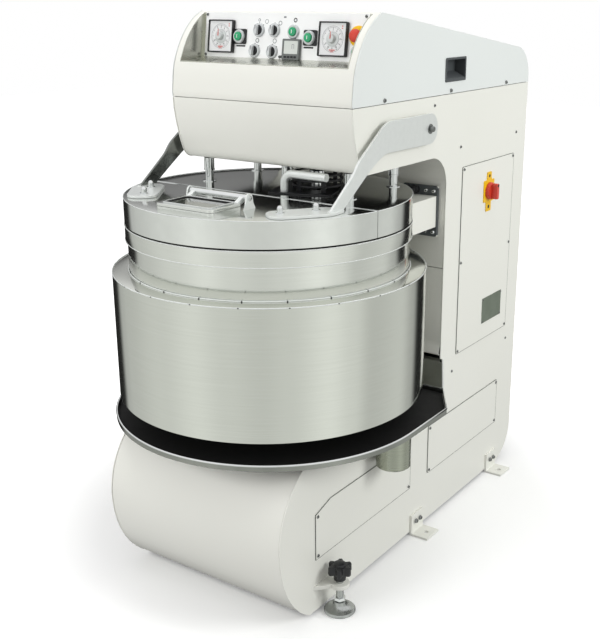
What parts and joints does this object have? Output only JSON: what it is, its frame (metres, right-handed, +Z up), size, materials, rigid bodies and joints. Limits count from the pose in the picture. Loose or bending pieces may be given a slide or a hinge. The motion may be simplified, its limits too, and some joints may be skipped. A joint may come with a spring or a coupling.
{
  "type": "industrial spiral dough mixer",
  "caption": "Floor-standing spiral dough mixer: turning steel bowl in a drip tray, hinged lid with hatch, spiral tool hung from an arched body with a control panel.",
  "frame": {"origin": "on the floor, under the centre of the bounding box", "axes": "+Z up, -Y towards the operator at the nose, +X towards the machine's electrical door"},
  "size_m": [1, 1.594, 1.723],
  "materials": {
    "body_paint": "semi-gloss warm white powder coat",
    "frame_paint": "dark grey paint",
    "motor_iron": "painted casting",
    "bowl_steel": "satin stainless",
    "lid_steel": "polished stainless",
    "tray_steel": "satin stainless",
    "arm_steel": "bead-blasted stainless",
    "tool_steel": "ground stainless",
    "drive_steel": "machined steel",
    "guard_black": "black powder coat",
    "panel_steel": "mirror-polished stainless",
    "foot_steel": "turned stainless",
    "timer_black": "moulded ABS",
    "timer_clear": "clear acrylic",
    "button_green": "translucent lens",
    "switch_red": "moulded",
    "selector_silver": "metallised plastic",
    "grip_grey": "moulded ABS",
    "window_glass": "smoked polycarbonate",
    "knob_black": "moulded phenolic",
    "wheel_plastic": "moulded nylon"
  },
  "bodies": {
    "machine": {"side_plate_right": "body_paint", "side_plate_left": "body_paint", "nose_cover": "body_paint", "column_front_lower": "body_paint", "column_front_upper": "body_paint", "column_rear_cover": "body_paint", "head_front_shell": "body_paint", "top_cover": "body_paint", "door_right": "body_paint", "lower_front_panel": "body_paint", "lower_rear_panel": "body_paint", "lid_support_right": "body_paint", "lid_support_left": "body_paint", "base_frame": "frame_paint", "head_frame": "frame_paint", "bowl_motor": "motor_iron", "spiral_motor": "motor_iron", "drip_tray": "tray_steel", "roller_housing_right": "tray_steel", "roller_housing_left": "tray_steel", "rear_lid": "lid_steel", "water_pipe": "arm_steel", "breaker_bar": "tool_steel", "spiral_guard": "guard_black", "control_panel": "panel_steel", "timer_left": "timer_black", "timer_right": "timer_black", "grip_right": "grip_grey", "grip_left": "grip_grey"},
    "bowl": {"bowl": "bowl_steel", "bowl_skirt": "bowl_steel", "bowl_shaft": "drive_steel"},
    "spiral": {"spiral": "tool_steel"},
    "bowl_motor_pulley": {"bowl_motor_pulley": "drive_steel"},
    "spiral_motor_pulley": {"spiral_motor_pulley": "drive_steel"},
    "front_lid": {"front_lid": "lid_steel", "lid_arm_right": "arm_steel", "lid_arm_left": "arm_steel"},
    "hatch": {"hatch_flap": "lid_steel", "hatch_window": "window_glass"},
    "button_left": {"button_left": "button_green"},
    "button_reset": {"button_reset": "button_green"},
    "button_right": {"button_right": "button_green"},
    "button_start": {"button_start": "button_green"},
    "emergency_stop": {"emergency_stop": "switch_red"},
    "selector_a": {"selector_a": "selector_silver"},
    "selector_b": {"selector_b": "selector_silver"},
    "selector_c": {"selector_c": "selector_silver"},
    "selector_d": {"selector_d": "selector_silver"},
    "timer_knob_left": {"timer_knob_left": "timer_clear"},
    "timer_knob_right": {"timer_knob_right": "timer_clear"},
    "main_switch_knob": {"main_switch_knob": "switch_red"},
    "jack_foot_right": {"jack_foot_right": "foot_steel"},
    "jack_knob_right": {"jack_knob_right": "knob_black"},
    "jack_foot_left": {"jack_foot_left": "foot_steel"},
    "jack_knob_left": {"jack_knob_left": "knob_black"},
    "wheel_front_right": {"wheel_front_right": "wheel_plastic"},
    "wheel_rear_right": {"wheel_rear_right": "wheel_plastic"},
    "wheel_front_left": {"wheel_front_left": "wheel_plastic"},
    "wheel_rear_left": {"wheel_rear_left": "wheel_plastic"}
  },
  "joints": [
    {"name": "bowl_spin", "type": "hinge", "parent": "machine", "child": "bowl", "pos_m": [0, -0.31, 0.6], "axis": [0, 0, 1], "continuous": true},
    {"name": "bowl_motor_spin", "type": "hinge", "parent": "machine", "child": "bowl_motor_pulley", "pos_m": [0, 0.4, 0.235], "axis": [0, 0, 1], "continuous": true},
    {"name": "spiral_spin", "type": "hinge", "parent": "machine", "child": "spiral", "pos_m": [0.104, -0.206, 1.4], "axis": [0, 0, 1], "continuous": true},
    {"name": "spiral_motor_spin", "type": "hinge", "parent": "machine", "child": "spiral_motor_pulley", "pos_m": [0.104, 0.33, 1.4], "axis": [0, 0, 1], "continuous": true},
    {"name": "lid_swing", "type": "hinge", "parent": "machine", "child": "front_lid", "pos_m": [0, 0.035, 1.382], "axis": [-1, 0, 0], "range_deg": [0, 55]},
    {"name": "hatch_swing", "type": "hinge", "parent": "front_lid", "child": "hatch", "pos_m": [0, -0.556, 1.238], "axis": [-1, 0, 0], "range_deg": [0, 110]},
    {"name": "button_left_press", "type": "slide", "parent": "machine", "child": "button_left", "axis": [0, 0.9903, -0.1392], "range_m": [0, 0.003], "stiffness_N_per_m": 400, "springref_m": -0.002},
    {"name": "button_reset_press", "type": "slide", "parent": "machine", "child": "button_reset", "axis": [0, 0.9903, -0.1392], "range_m": [0, 0.003], "stiffness_N_per_m": 400, "springref_m": -0.002},
    {"name": "button_right_press", "type": "slide", "parent": "machine", "child": "button_right", "axis": [0, 0.9903, -0.1392], "range_m": [0, 0.003], "stiffness_N_per_m": 400, "springref_m": -0.002},
    {"name": "button_start_press", "type": "slide", "parent": "machine", "child": "button_start", "axis": [0, 0.9903, -0.1392], "range_m": [0, 0.003], "stiffness_N_per_m": 400, "springref_m": -0.002},
    {"name": "emergency_stop_press", "type": "slide", "parent": "machine", "child": "emergency_stop", "axis": [0, 0.9903, -0.1392], "range_m": [0, 0.005], "stiffness_N_per_m": 600, "springref_m": -0.002},
    {"name": "selector_a_turn", "type": "hinge", "parent": "machine", "child": "selector_a", "pos_m": [-0.085, -0.23342, 1.66861], "axis": [0, -0.9903, 0.1392], "range_deg": [-45, 45]},
    {"name": "selector_b_turn", "type": "hinge", "parent": "machine", "child": "selector_b", "pos_m": [-0.028, -0.23342, 1.66861], "axis": [0, -0.9903, 0.1392], "range_deg": [-45, 45]},
    {"name": "selector_c_turn", "type": "hinge", "parent": "machine", "child": "selector_c", "pos_m": [-0.098, -0.24177, 1.60919], "axis": [0, -0.9903, 0.1392], "range_deg": [-45, 45]},
    {"name": "selector_d_turn", "type": "hinge", "parent": "machine", "child": "selector_d", "pos_m": [-0.032, -0.24191, 1.6082], "axis": [0, -0.9903, 0.1392], "range_deg": [-45, 45]},
    {"name": "timer_left_turn", "type": "hinge", "parent": "machine", "child": "timer_knob_left", "pos_m": [-0.225, -0.23634, 1.64781], "axis": [0, 0.9903, -0.1392], "range_deg": [0, 300]},
    {"name": "timer_right_turn", "type": "hinge", "parent": "machine", "child": "timer_knob_right", "pos_m": [0.186, -0.23634, 1.64781], "axis": [0, 0.9903, -0.1392], "range_deg": [0, 300]},
    {"name": "main_switch_turn", "type": "hinge", "parent": "machine", "child": "main_switch_knob", "pos_m": [0.35, 0.515, 1.12], "axis": [-1, 0, 0], "range_deg": [0, 90]},
    {"name": "jack_right_lift", "type": "slide", "parent": "machine", "child": "jack_foot_right", "axis": [0, 0, 1], "range_m": [0, 0.024]},
    {"name": "jack_right_turn", "type": "hinge", "parent": "jack_foot_right", "child": "jack_knob_right", "pos_m": [0.378, -0.49, 0.13], "axis": [0, 0, 1], "range_deg": [0, 2880]},
    {"name": "jack_left_lift", "type": "slide", "parent": "machine", "child": "jack_foot_left", "axis": [0, 0, 1], "range_m": [0, 0.024]},
    {"name": "jack_left_turn", "type": "hinge", "parent": "jack_foot_left", "child": "jack_knob_left", "pos_m": [-0.378, -0.49, 0.13], "axis": [0, 0, 1], "range_deg": [0, 2880]},
    {"name": "wheel_front_right_roll", "type": "hinge", "parent": "machine", "child": "wheel_front_right", "pos_m": [0.277, -0.43, 0.051], "axis": [1, 0, 0], "continuous": true},
    {"name": "wheel_rear_right_roll", "type": "hinge", "parent": "machine", "child": "wheel_rear_right", "pos_m": [0.277, 0.56, 0.051], "axis": [1, 0, 0], "continuous": true},
    {"name": "wheel_front_left_roll", "type": "hinge", "parent": "machine", "child": "wheel_front_left", "pos_m": [-0.277, -0.43, 0.051], "axis": [1, 0, 0], "continuous": true},
    {"name": "wheel_rear_left_roll", "type": "hinge", "parent": "machine", "child": "wheel_rear_left", "pos_m": [-0.277, 0.56, 0.051], "axis": [1, 0, 0], "continuous": true}
  ],
  "couplings": [
    {"joint": "bowl_motor_spin", "follows": "bowl_spin", "ratio": 4},
    {"joint": "spiral_motor_spin", "follows": "spiral_spin", "ratio": 1.3333},
    {"joint": "jack_right_turn", "follows": "jack_right_lift", "rad_per_m": 2094.4},
    {"joint": "jack_left_turn", "follows": "jack_left_lift", "rad_per_m": 2094.4}
  ]
}
